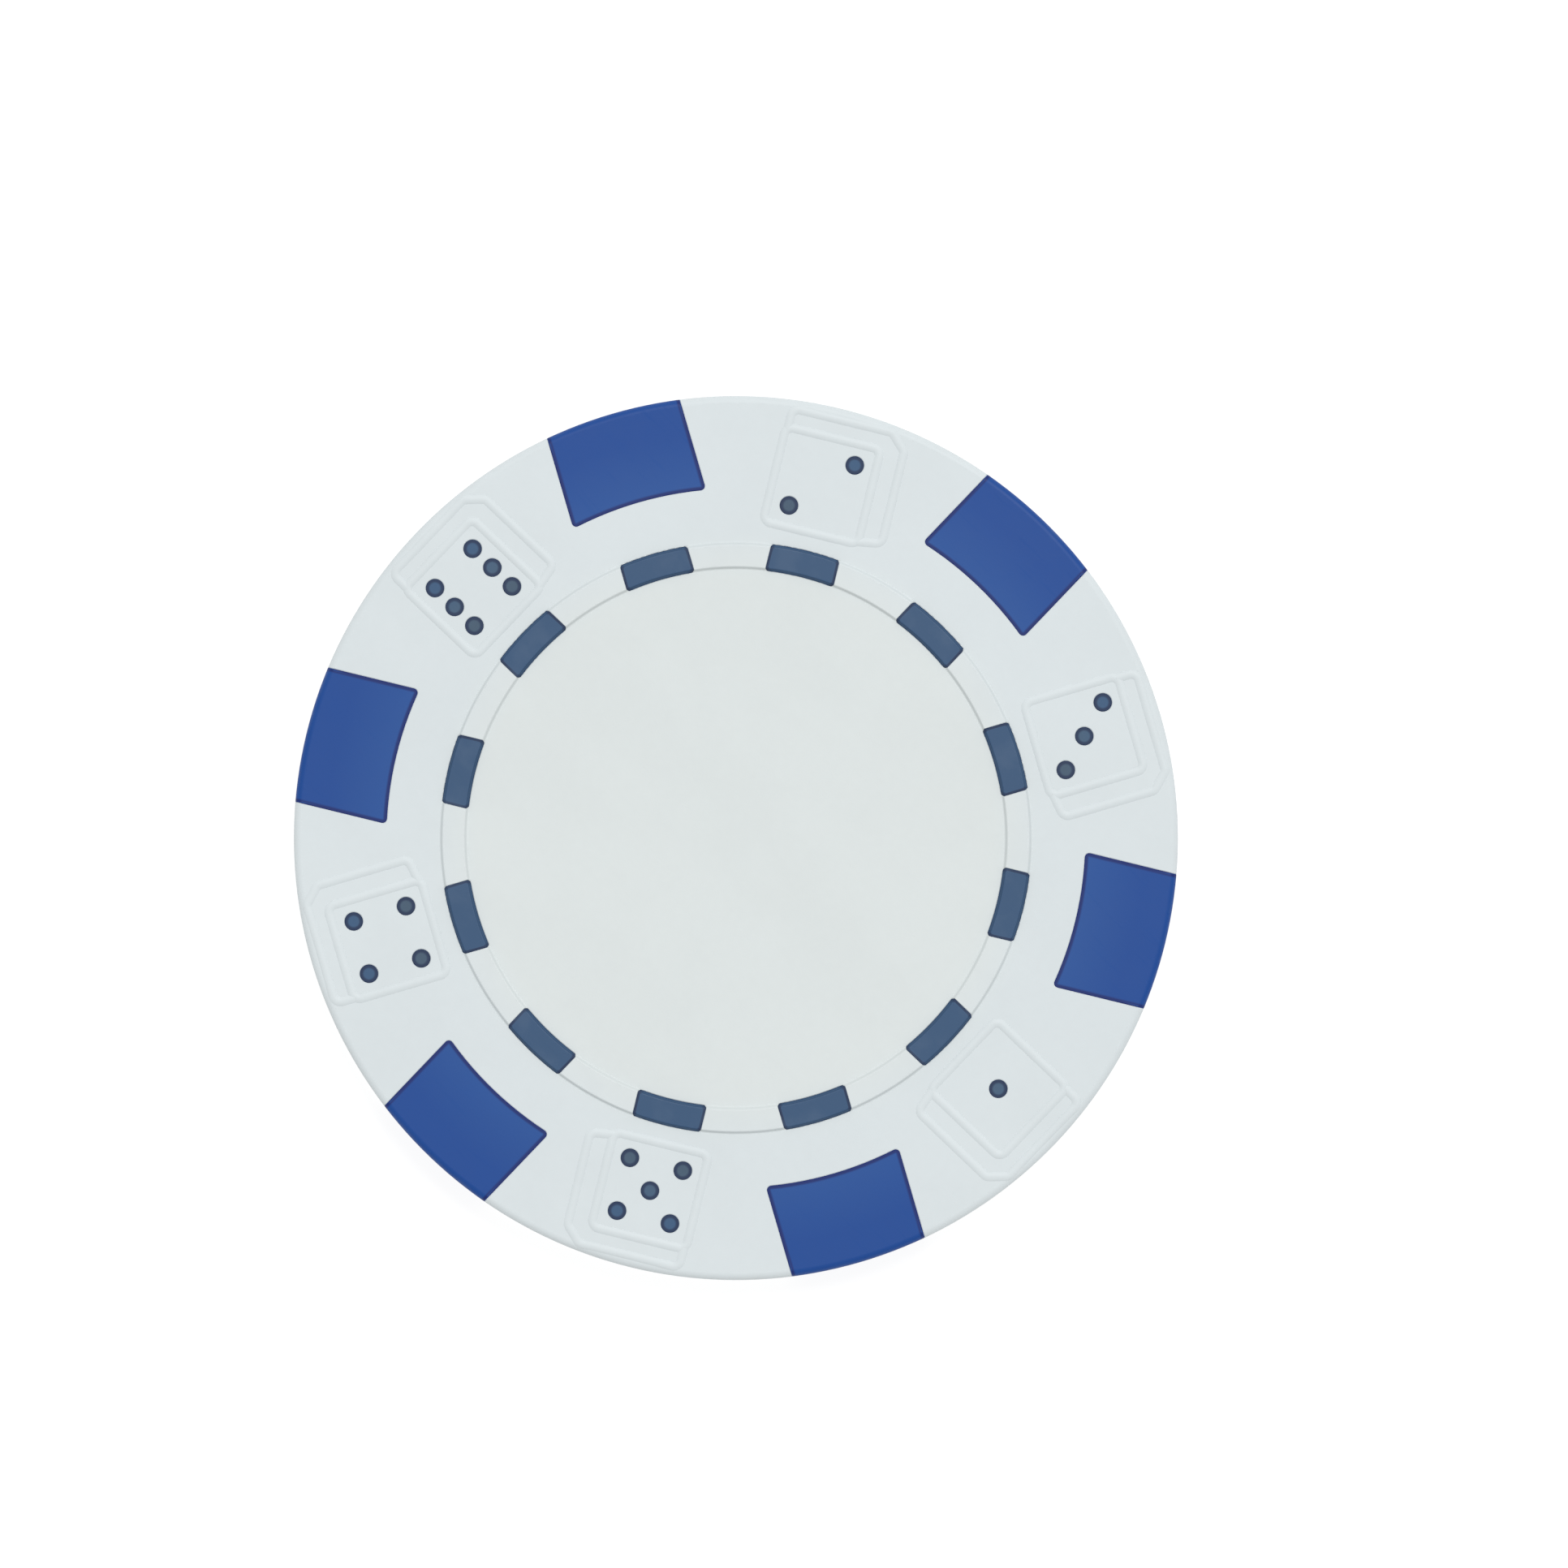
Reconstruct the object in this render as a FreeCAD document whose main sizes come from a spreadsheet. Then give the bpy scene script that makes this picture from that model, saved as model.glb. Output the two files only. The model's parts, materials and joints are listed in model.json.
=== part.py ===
"""Dice-pattern poker chip: a steel slug inside three shots of moulded plastic.

The chip lies flat on the XY plane with +Z up. The origin is the centre of its underside, and the
die that shows one pip lies on +X. Every piece is drawn about its own middle plane and lifted by
half the chip's thickness. The back face is the front face turned over about the X axis.
"""
import FreeCAD, Part
import math
import os
from types import SimpleNamespace

import Sketcher
from FreeCAD import Placement, Rotation, Vector

SIZES_MM = {
    # chip
    "chip_radius": 19.5,
    "chip_thickness": 3.3,
    "rim_fillet": 0.3,
    # raised ring on each face, with sloping walls
    "ring_height": 0.15,
    "ring_inner_radius": 11.85,
    "ring_outer_radius": 13.05,
    "ring_wall_run": 0.13,
    # steel slug
    "slug_radius": 14.7,
    "slug_thickness": 1.75,
    "slug_edge_chamfer": 0.12,
    "tie_hole_radius": 1.5,
    "tie_hole_circle_radius": 9.0,
    # slate blue core with its dovetail tongues
    "core_radius": 18.2,
    "core_thickness": 2.35,
    "tongue_root": 15.0,
    "tongue_tip": 17.4,
    "tongue_root_half_width": 0.9,
    "tongue_tip_half_width": 1.5,
    "tongue_thickness": 1.2,
    # royal blue edge spots
    "spot_width": 6.1,
    "spot_inner_radius": 15.4,
    "spot_corner_radius": 0.2,
    # blue marks on each face
    "dash_width": 3.1,
    "dash_corner_radius": 0.12,
    "pip_radius": 0.41,
    "pip_pitch": 1.2,
    # outline drawing of one die, as a rounded bead
    "die_centre_radius": 16.0,
    "die_half_side": 2.15,
    "die_corner_radius": 0.35,
    "die_outer_depth": 0.85,
    "die_outer_shift": 0.1,
    "die_side_depth": 1.02,
    "die_side_shift": 0.28,
    "die_bevel": 0.7,
    "bead_width": 0.47,
    "bead_height": 0.05,
    "bead_root": 0.15,
}

SPOT_COUNT = 6
DASH_COUNT = 12
TIE_HOLE_COUNT = 6
FIRST_SPOT_DEG = 30

# Number shown by each die, anticlockwise from +X, and the places of its pips in steps of the
# pip pitch: outwards from the chip's centre, then anticlockwise round it.
DIE_NUMBERS = (1, 3, 2, 6, 4, 5)
PIPS = {
    1: [(0, 0)],
    2: [(1, -1), (-1, 1)],
    3: [(1, 1), (0, 0), (-1, -1)],
    4: [(1, 1), (1, -1), (-1, 1), (-1, -1)],
    5: [(1, 1), (1, -1), (0, 0), (-1, 1), (-1, -1)],
    6: [(1, 1), (0, 1), (-1, 1), (1, -1), (0, -1), (-1, -1)],
}


class Dim:
    """A length made from the sheet's cells: its expression and its present value."""

    def __init__(self, text, value):
        self.text, self.value = text, value

    def __add__(self, other):
        return Dim(f"({self.text} + {other.text})", self.value + other.value)

    def __sub__(self, other):
        return Dim(f"({self.text} - {other.text})", self.value - other.value)

    def __mul__(self, number):
        return Dim(f"({self.text} * {number:.9f})", self.value * number)

    def __neg__(self):
        return self * -1


def write_sheet():
    """Put every driving size in the sheet and return one Dim for each."""
    sheet = doc.addObject("Spreadsheet::Sheet", "Sizes")
    dims = {}
    for row, (name, value) in enumerate(SIZES_MM.items(), start=1):
        sheet.set(f"A{row}", name)
        sheet.set(f"B{row}", str(value))
        sheet.setAlias(f"B{row}", name)
        dims[name] = Dim(f"Sizes.{name}", value)
    doc.recompute()
    return SimpleNamespace(**dims)


def bind(obj, prop, dim):
    obj.setExpression(prop, dim.text)


def new_body(label, degrees=0, turned=False):
    """A body on the chip's middle plane, turned by degrees about Z or turned over about X."""
    body = doc.addObject("PartDesign::Body", label)
    rotation = Rotation(Vector(0, 0, 1), degrees)
    if turned:
        rotation = Rotation(Vector(1, 0, 0), 180)
    body.Placement = Placement(Vector(0, 0, half_thickness.value), rotation)
    bind(body, ".Placement.Base.z", half_thickness)
    return body


def new_sketch(body, role, name, lift=None):
    """A sketch on one of the body's own origin planes, lifted off it if lift is given."""
    plane = next(f for f in body.Origin.OriginFeatures if f.Role == role)
    sketch = body.newObject("Sketcher::SketchObject", f"{body.Label}_{name}")
    sketch.AttachmentSupport = [(plane, "")]
    sketch.MapMode = "FlatFace"
    if lift:
        bind(sketch, ".AttachmentOffset.Base.z", lift)
    return sketch


def constrain(sketch, kind, *where, size=None):
    """Add one constraint, bound to a size where it has one."""
    if size is None:
        sketch.addConstraint(Sketcher.Constraint(kind, *where))
        return
    index = sketch.addConstraint(Sketcher.Constraint(kind, *where, size.value))
    sketch.setExpression(f"Constraints[{index}]", size.text)


def pin(sketch, geometry, point, x, y):
    """Fix a point of a sketch from the origin. None stands for a place on the axis."""
    if x is None:
        constrain(sketch, "PointOnObject", geometry, point, -2)
    else:
        constrain(sketch, "DistanceX", -1, 1, geometry, point, size=x)
    if y is None:
        constrain(sketch, "PointOnObject", geometry, point, -1)
    else:
        constrain(sketch, "DistanceY", -1, 1, geometry, point, size=y)


def at(corner):
    return Vector(*[0 if c is None else c.value for c in corner], 0)


def draw_polygon(sketch, corners):
    """Closed straight-sided outline through the corners."""
    count = len(corners)
    for i in range(count):
        sketch.addGeometry(Part.LineSegment(at(corners[i]), at(corners[(i + 1) % count])))
    for i in range(count):
        constrain(sketch, "Coincident", i, 2, (i + 1) % count, 1)
    for i, corner in enumerate(corners):
        pin(sketch, i, 1, *corner)


def draw_circle(sketch, x, y, radius):
    circle = sketch.addGeometry(Part.Circle(at((x, y)), Vector(0, 0, 1), radius.value))
    constrain(sketch, "Radius", circle, size=radius)
    if x is None and y is None:
        constrain(sketch, "Coincident", circle, 3, -1, 1)
    else:
        pin(sketch, circle, 3, x, y)


def draw_rounded(sketch, corners, radius, closed=True):
    """Path through the corners with a tangent arc at each, open or closed."""
    points = [at(c) for c in corners]
    count = len(points)
    turning = range(count) if closed else range(1, count - 1)
    before, after, arcs = {}, {}, {}
    for i in turning:
        back = (points[i - 1] - points[i]).normalize()
        ahead = (points[(i + 1) % count] - points[i]).normalize()
        half_angle = back.getAngle(ahead) / 2
        run = radius.value / math.tan(half_angle)
        centre = points[i] + (back + ahead).normalize() * (radius.value / math.sin(half_angle))
        before[i], after[i] = points[i] + back * run, points[i] + ahead * run
        left = back.cross(ahead).z < 0
        first, last = (before[i], after[i]) if left else (after[i], before[i])
        angles = [math.atan2(p.y - centre.y, p.x - centre.x) for p in (first, last)]
        circle = Part.Circle(centre, Vector(0, 0, 1), radius.value)
        arc = sketch.addGeometry(Part.ArcOfCircle(circle, *angles))
        arcs[i] = (arc, 1 if left else 2, 2 if left else 1)
        constrain(sketch, "Radius", arc, size=radius)
    for i in range(count if closed else count - 1):
        nxt = (i + 1) % count
        line = sketch.addGeometry(
            Part.LineSegment(after.get(i, points[i]), before.get(nxt, points[nxt]))
        )
        for corner, end, side in ((i, 1, 2), (nxt, 2, 1)):
            if corner in arcs:
                constrain(sketch, "Tangent", line, end, arcs[corner][0], arcs[corner][side])
                mark = sketch.addGeometry(Part.Point(points[corner]), True)
                pin(sketch, mark, 1, *corners[corner])
                constrain(sketch, "PointOnObject", mark, 1, line)
            else:
                pin(sketch, line, end, *corners[corner])


def pad(body, sketch, name, length, symmetric=False):
    feature = body.newObject("PartDesign::Pad", f"{body.Label}_{name}")
    feature.Profile = sketch
    feature.Midplane = symmetric
    bind(feature, "Length", length)
    return feature


def polar_pattern(body, features, name, count):
    """Repeat features evenly about the body's Z axis."""
    axis = next(f for f in body.Origin.OriginFeatures if f.Role == "Z_Axis")
    pattern = body.newObject("PartDesign::PolarPattern", f"{body.Label}_{name}")
    pattern.Originals = features
    pattern.Axis = (axis, [""])
    pattern.Angle = 360
    pattern.Occurrences = count
    body.Tip = pattern
    return pattern


def dress_edges(body, base, kind, size, wanted):
    """Fillet or chamfer the edges of base that the test picks."""
    doc.recompute()
    names = [f"Edge{i}" for i, e in enumerate(base.Shape.Edges, start=1) if wanted(e)]
    feature = body.newObject(f"PartDesign::{kind}", f"{body.Label}_{kind.lower()}")
    feature.Base = (base, names)
    bind(feature, "Radius" if kind == "Fillet" else "Size", size)
    body.Tip = feature
    return feature


def boolean(kind, label, first, *others):
    """A Part boolean of finished objects: Cut, Common or MultiFuse."""
    result = doc.addObject(f"Part::{kind}", label)
    if kind == "MultiFuse":
        result.Shapes = [first, *others]
    else:
        result.Base, result.Tool = first, others[0]
    return result


def is_circle(edge, radius):
    return isinstance(edge.Curve, Part.Circle) and abs(edge.Curve.Radius - radius) < 1e-4


# ---- the chip's outside form, before the dice outlines: a filleted disc with a ring each side

def make_chip_form():
    body = new_body("chip_form")
    profile = new_sketch(body, "XZ_Plane", "half_section")
    draw_polygon(profile, [
        (None, None),
        (d.chip_radius, None),
        (d.chip_radius, field_height),
        (d.ring_outer_radius, field_height),
        (d.ring_outer_radius - d.ring_wall_run, half_thickness),
        (d.ring_inner_radius + d.ring_wall_run, half_thickness),
        (d.ring_inner_radius, field_height),
        (None, field_height),
    ])
    turned = body.newObject("PartDesign::Revolution", "chip_form_revolution")
    turned.Profile = profile
    turned.ReferenceAxis = (profile, ["V_Axis"])
    turned.Angle = 360
    mirror = body.newObject("PartDesign::Mirrored", "chip_form_mirrored")
    mirror.Originals = [turned]
    mirror.MirrorPlane = (next(f for f in body.Origin.OriginFeatures if f.Role == "XY_Plane"), [""])
    body.Tip = mirror
    rim = d.chip_radius.value
    dress_edges(body, mirror, "Fillet", d.rim_fillet,
                lambda e: is_circle(e, rim) and abs(e.CenterOfMass.z) > 1)
    return body


# ---- steel slug: punched disc with tie holes that the core's plastic runs through

def make_slug():
    body = new_body("steel_slug")
    outline = new_sketch(body, "XY_Plane", "outline")
    draw_circle(outline, None, None, d.slug_radius)
    disc = pad(body, outline, "disc", d.slug_thickness, symmetric=True)
    edge = d.slug_radius.value
    disc = dress_edges(body, disc, "Chamfer", d.slug_edge_chamfer, lambda e: is_circle(e, edge))
    hole = new_sketch(body, "XY_Plane", "tie_hole")
    draw_circle(hole, d.tie_hole_circle_radius, None, d.tie_hole_radius)
    punch = body.newObject("PartDesign::Pocket", "steel_slug_punch")
    punch.Profile = hole
    punch.Type = "ThroughAll"
    punch.Midplane = True
    polar_pattern(body, [punch], "tie_holes", TIE_HOLE_COUNT)
    return body


# ---- edge spots: blocks with parallel sides and a concentric inner end, over a dovetail tongue

def make_spot_prism(number, degrees):
    """The block before it is trimmed to the rim: it runs out past the edge of the chip."""
    body = new_body(f"spot_prism_{number}", degrees)
    outline = new_sketch(body, "XY_Plane", "outline")
    half_width = d.spot_width * 0.5
    overrun = d.chip_radius + d.rim_fillet
    half_angle = math.asin(half_width.value / d.spot_inner_radius.value)
    inner_x = d.spot_inner_radius.value * math.cos(half_angle)
    circle = Part.Circle(Vector(), Vector(0, 0, 1), d.spot_inner_radius.value)
    outline.addGeometry(Part.ArcOfCircle(circle, -half_angle, half_angle))
    ends = [Vector(overrun.value, side * half_width.value, 0) for side in (-1, 1)]
    starts = [Vector(inner_x, side * half_width.value, 0) for side in (-1, 1)]
    outline.addGeometry(Part.LineSegment(starts[0], ends[0]))
    outline.addGeometry(Part.LineSegment(ends[0], ends[1]))
    outline.addGeometry(Part.LineSegment(ends[1], starts[1]))
    constrain(outline, "Coincident", 0, 3, -1, 1)
    constrain(outline, "Coincident", 0, 1, 1, 1)
    constrain(outline, "Coincident", 1, 2, 2, 1)
    constrain(outline, "Coincident", 2, 2, 3, 1)
    constrain(outline, "Coincident", 3, 2, 0, 2)
    constrain(outline, "Horizontal", 1)
    constrain(outline, "Horizontal", 3)
    constrain(outline, "Radius", 0, size=d.spot_inner_radius)
    constrain(outline, "Vertical", 2)
    pin(outline, 2, 1, overrun, -half_width)
    constrain(outline, "DistanceY", -1, 1, 2, 2, size=half_width)
    block = pad(body, outline, "block", field_height * 2, symmetric=True)
    dress_edges(body, block, "Fillet", d.spot_corner_radius, lambda e: (
        isinstance(e.Curve, Part.Line) and abs(e.tangentAt(e.FirstParameter).z) > 0.9
        and e.CenterOfMass.x < d.spot_inner_radius.value))
    return body


def make_tongue(number, degrees):
    """Dovetail of the core that the edge spot is moulded round."""
    body = new_body(f"tongue_{number}", degrees)
    outline = new_sketch(body, "XY_Plane", "outline")
    draw_polygon(outline, [
        (d.tongue_root, -d.tongue_root_half_width),
        (d.tongue_tip, -d.tongue_tip_half_width),
        (d.tongue_tip, d.tongue_tip_half_width),
        (d.tongue_root, d.tongue_root_half_width),
    ])
    pad(body, outline, "key", d.tongue_thickness, symmetric=True)
    return body


# ---- core: one half for each face, with posts that come through the white as pips and dashes

def make_core_half(side):
    body = new_body(f"core_{side}", turned=(side == "back"))
    outline = new_sketch(body, "XY_Plane", "outline")
    draw_circle(outline, None, None, d.core_radius)
    pad(body, outline, "disc", d.core_thickness * 0.5)
    pips = new_sketch(body, "XY_Plane", "pips")
    for die, number in enumerate(DIE_NUMBERS):
        angle = math.radians(60 * die)
        for out, along in PIPS[number]:
            radial = d.die_centre_radius + d.pip_pitch * out
            tangential = d.pip_pitch * along
            draw_circle(pips,
                        radial * math.cos(angle) - tangential * math.sin(angle),
                        radial * math.sin(angle) + tangential * math.cos(angle),
                        d.pip_radius)
    pad(body, pips, "pip_posts", field_height)
    dash = new_sketch(body, "XY_Plane", "dash")
    half_width = d.dash_width * 0.5
    draw_rounded(dash, [
        (d.ring_inner_radius, -half_width),
        (d.ring_outer_radius, -half_width),
        (d.ring_outer_radius, half_width),
        (d.ring_inner_radius, half_width),
    ], d.dash_corner_radius)
    post = pad(body, dash, "dash_post", half_thickness)
    polar_pattern(body, [post], "dash_posts", DASH_COUNT)
    return body


# ---- dice outlines: a rounded bead along the edges of a cube seen from its front

def draw_bead_section(sketch, x):
    """Flat-rooted circular segment, centred on x and standing on the field."""
    half_width = d.bead_width * 0.5
    left, right, top = x - half_width, x + half_width, field_height + d.bead_height
    root = field_height - d.bead_root
    arc = Part.Arc(at((right, field_height)), at((x, top)), at((left, field_height)))
    sketch.addGeometry(arc)
    sketch.addGeometry(Part.LineSegment(at((left, field_height)), at((left, root))))
    sketch.addGeometry(Part.LineSegment(at((left, root)), at((right, root))))
    sketch.addGeometry(Part.LineSegment(at((right, root)), at((right, field_height))))
    crown = sketch.addGeometry(Part.Point(at((x, top))), True)
    constrain(sketch, "Coincident", 0, 2, 1, 1)
    constrain(sketch, "Coincident", 1, 2, 2, 1)
    constrain(sketch, "Coincident", 2, 2, 3, 1)
    constrain(sketch, "Coincident", 3, 2, 0, 1)
    pin(sketch, 1, 1, left, field_height)
    pin(sketch, 2, 1, left, root)
    pin(sketch, 3, 1, right, root)
    pin(sketch, 3, 2, right, field_height)
    pin(sketch, crown, 1, x, top)
    constrain(sketch, "PointOnObject", crown, 1, 0)


def make_relief(side):
    body = new_body(f"relief_{side}", turned=(side == "back"))
    half = d.die_half_side
    near, far = d.die_centre_radius - half, d.die_centre_radius + half
    back = far + d.die_outer_depth
    side_y = -(half + d.die_side_depth)
    routes = {
        # front face of the cube
        "front": (near, True, [(near, -half), (far, -half), (far, half), (near, half)]),
        # far edge, anticlockwise half, down to the front face
        "far_left": (back, False, [(back, None), (back, half - d.die_outer_shift), (far, half)]),
        # far edge, clockwise half, round the bevelled corner and down the side
        "far_right": (back, False, [
            (back, None),
            (back, side_y + d.die_bevel),
            (back - d.die_bevel, side_y),
            (near + d.die_side_shift, side_y),
            (near, -half),
        ]),
    }
    pipes = []
    for name, (start, closed, corners) in routes.items():
        route = new_sketch(body, "XY_Plane", f"{name}_route", lift=field_height)
        draw_rounded(route, corners, d.die_corner_radius, closed)
        section = new_sketch(body, "XZ_Plane", f"{name}_section")
        draw_bead_section(section, start)
        pipe = body.newObject("PartDesign::AdditivePipe", f"{body.Label}_{name}")
        pipe.Profile = section
        pipe.Spine = route
        pipes.append(pipe)
    polar_pattern(body, pipes, "dice", len(DIE_NUMBERS))
    return body


doc = FreeCAD.newDocument("dice_poker_chip")
d = write_sheet()
half_thickness = d.chip_thickness * 0.5
field_height = half_thickness - d.ring_height

chip_form = make_chip_form()
slug = make_slug()
spot_degrees = [FIRST_SPOT_DEG + i * 360 / SPOT_COUNT for i in range(SPOT_COUNT)]
prisms = [make_spot_prism(n, a) for n, a in enumerate(spot_degrees, start=1)]
tongues = [make_tongue(n, a) for n, a in enumerate(spot_degrees, start=1)]

core_blank = boolean("MultiFuse", "core_blank", make_core_half("front"), make_core_half("back"))
core_trimmed = boolean("Common", "core_trimmed", core_blank, chip_form)
all_prisms = boolean("MultiFuse", "all_prisms", *prisms)
core_notched = boolean("Cut", "core_notched", core_trimmed, all_prisms)
core_keyed = boolean("MultiFuse", "core_keyed", core_notched, *tongues)
inner_core = boolean("Cut", "inner_core", core_keyed, slug)

spots = []
for number, (prism, tongue) in enumerate(zip(prisms, tongues), start=1):
    block = boolean("Common", f"spot_block_{number}", prism, chip_form)
    spots.append(boolean("Cut", f"edge_spot_{number}", block, tongue))

white_blank = boolean("MultiFuse", "white_blank", chip_form, make_relief("front"),
                      make_relief("back"))
earlier_shots = boolean("MultiFuse", "earlier_shots", core_keyed, *spots)
outer_body = boolean("Cut", "outer_body", white_blank, earlier_shots)

doc.recompute()
for obj in doc.Objects:
    if "Invalid" in obj.State or "Error" in obj.State:
        raise RuntimeError(f"{obj.Label} failed: {obj.State}")

os.makedirs("parts", exist_ok=True)
for piece in [slug, inner_core, *spots, outer_body]:
    shape = piece.Shape
    if shape.isNull() or not shape.isValid() or not shape.Solids:
        raise RuntimeError(f"{piece.Label} has no valid solid")
    shape.exportStep(f"parts/{piece.Label}.step")
    print(f"{piece.Label}: {len(shape.Solids)} solid, {shape.Volume:.2f} mm3")
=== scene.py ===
import json
import math

import bmesh
import bpy
from mathutils import Matrix, Vector
from mathutils.geometry import delaunay_2d_cdt

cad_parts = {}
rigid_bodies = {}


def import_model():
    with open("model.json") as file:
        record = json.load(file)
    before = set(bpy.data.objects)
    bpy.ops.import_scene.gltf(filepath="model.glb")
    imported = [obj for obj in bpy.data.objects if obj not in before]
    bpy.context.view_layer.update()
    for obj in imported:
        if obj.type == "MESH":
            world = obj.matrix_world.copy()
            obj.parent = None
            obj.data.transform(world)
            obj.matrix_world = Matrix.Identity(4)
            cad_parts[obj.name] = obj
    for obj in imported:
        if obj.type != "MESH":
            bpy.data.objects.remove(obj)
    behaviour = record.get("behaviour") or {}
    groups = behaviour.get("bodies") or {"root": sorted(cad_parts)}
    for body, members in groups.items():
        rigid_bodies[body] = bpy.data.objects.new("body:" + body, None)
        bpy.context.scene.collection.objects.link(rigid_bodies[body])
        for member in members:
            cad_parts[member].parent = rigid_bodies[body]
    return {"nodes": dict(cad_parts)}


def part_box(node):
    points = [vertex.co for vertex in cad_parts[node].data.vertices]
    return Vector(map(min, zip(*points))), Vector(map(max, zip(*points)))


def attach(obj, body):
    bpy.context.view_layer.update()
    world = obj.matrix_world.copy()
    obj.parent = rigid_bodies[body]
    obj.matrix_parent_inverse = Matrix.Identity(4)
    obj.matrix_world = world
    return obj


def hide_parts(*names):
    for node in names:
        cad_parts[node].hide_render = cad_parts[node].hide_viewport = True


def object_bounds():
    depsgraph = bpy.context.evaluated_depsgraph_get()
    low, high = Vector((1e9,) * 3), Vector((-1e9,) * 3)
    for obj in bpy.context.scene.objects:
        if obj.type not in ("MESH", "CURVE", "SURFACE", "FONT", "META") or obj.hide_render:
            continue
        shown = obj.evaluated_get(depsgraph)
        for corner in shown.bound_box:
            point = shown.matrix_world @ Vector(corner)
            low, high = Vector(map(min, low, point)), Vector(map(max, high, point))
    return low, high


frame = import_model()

cad_low, cad_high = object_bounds()

# ---------------------------------------------------------------------------------------------
# Camera: straight above the chip, with a long lens, turned so that the die with one pip lies to
# the lower right. The chip sits a little left of and below the middle of the view.
# ---------------------------------------------------------------------------------------------
view_turn = math.radians(43.7)
# shares of the view's width: the chip, and how far right of it and above it the view's middle is
chip_share, right_share, up_share = 0.5645, 0.0307, 0.0345
view_width = (cad_high.x - cad_low.x) / chip_share
view_right = Vector((math.cos(view_turn), math.sin(view_turn), 0))
view_up = Vector((-math.sin(view_turn), math.cos(view_turn), 0))
lens_mm, sensor_mm = 200, 36

camera_data = bpy.data.cameras.new("camera")
camera_data.lens, camera_data.sensor_width = lens_mm, sensor_mm
camera_data.clip_start, camera_data.clip_end = 0.01, 10
camera = bpy.data.objects.new("camera", camera_data)
chip_middle = (cad_low + cad_high) / 2
aim = chip_middle + view_right * (right_share * view_width) + view_up * (up_share * view_width)
camera.location = (aim.x, aim.y, cad_high.z + view_width * lens_mm / sensor_mm)
camera.rotation_euler = (0, 0, view_turn)
bpy.context.scene.collection.objects.link(camera)
bpy.context.scene.camera = camera
bpy.context.scene.view_settings.view_transform = "Standard"

# ---------------------------------------------------------------------------------------------
# Studio: an even white dome and one large soft box, high up beyond the top of the view and a
# little to the right. It is far off, so that its light is even, and shades only the far walls.
# ---------------------------------------------------------------------------------------------
dome = bpy.data.worlds.new("dome")
dome.use_nodes = True
dome.node_tree.nodes["Background"].inputs["Color"].default_value = (1, 1, 1, 1)
dome.node_tree.nodes["Background"].inputs["Strength"].default_value = 0.6
bpy.context.scene.world = dome

soft_box_data = bpy.data.lights.new("soft_box", "AREA")
soft_box_data.shape = "DISK"
soft_box_data.size = 0.9
soft_box_data.energy = 33
soft_box = bpy.data.objects.new("soft_box", soft_box_data)
box_heading, box_height, box_distance = view_turn + math.radians(70), math.radians(66), 2.5
box_way = Vector((
    math.cos(box_heading) * math.cos(box_height),
    math.sin(box_heading) * math.cos(box_height),
    math.sin(box_height),
))
soft_box.location = chip_middle + box_way * box_distance
soft_box.rotation_euler = box_way.to_track_quat("Z", "Y").to_euler()
bpy.context.scene.collection.objects.link(soft_box)


# ---------------------------------------------------------------------------------------------
# Floor: a plain white light table under the chip, whose own glow leaves almost no shade on it.
# ---------------------------------------------------------------------------------------------
class Wire:
    """An output of a node in a finish's tree, so that values can be worked out as sums."""

    def __init__(self, finish, socket):
        self.finish, self.socket = finish, socket

    def _math(self, operation, first, second):
        return self.finish.node("ShaderNodeMath", {"operation": operation}, {0: first, 1: second})

    def __add__(self, other):
        return self._math("ADD", self, other)

    def __radd__(self, other):
        return self._math("ADD", other, self)

    def __sub__(self, other):
        return self._math("SUBTRACT", self, other)

    def __rsub__(self, other):
        return self._math("SUBTRACT", other, self)

    def __mul__(self, other):
        return self._math("MULTIPLY", self, other)

    def __rmul__(self, other):
        return self._math("MULTIPLY", other, self)

    def __abs__(self):
        return self._math("ABSOLUTE", self, 0.0)


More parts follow.
